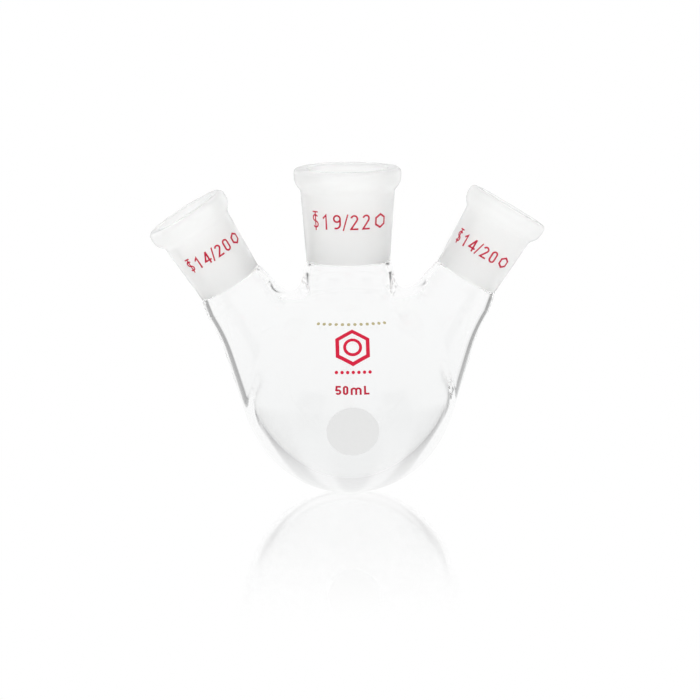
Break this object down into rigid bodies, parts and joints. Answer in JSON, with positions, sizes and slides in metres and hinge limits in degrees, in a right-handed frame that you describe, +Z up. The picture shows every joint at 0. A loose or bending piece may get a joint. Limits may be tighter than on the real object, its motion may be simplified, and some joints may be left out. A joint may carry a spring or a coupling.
{
  "type": "round bottom flask",
  "caption": "Round bottom flask with an upright centre neck and a leaning neck on each side, all with ground tapered sockets, for heating and reacting liquids.",
  "frame": {"origin": "lowest point of the bulb, on its centre axis", "axes": "+Z up the centre neck, +X towards the right neck in the plane of the necks, -Y the printed front"},
  "size_m": [0.094, 0.0511, 0.0785],
  "materials": {
    "clear_glass": "clear, fire-polished borosilicate glass",
    "ground_joint_glass": "clear outside, bore ground to a fine white matt",
    "red_enamel": "fired-on enamel, satin",
    "olive_enamel": "thin fired-on enamel, satin",
    "white_enamel": "fine matt fired-on enamel that takes pencil"
  },
  "bodies": {
    "root": {"bulb": "clear_glass", "centre_neck": "ground_joint_glass", "left_neck": "ground_joint_glass", "right_neck": "ground_joint_glass", "centre_size_mark": "red_enamel", "left_size_mark": "red_enamel", "right_size_mark": "red_enamel", "capacity_mark": "red_enamel", "ring_mark": "red_enamel", "upper_dot_row": "olive_enamel", "lower_dot_row": "red_enamel", "writing_spot": "white_enamel"}
  },
  "joints": []
}
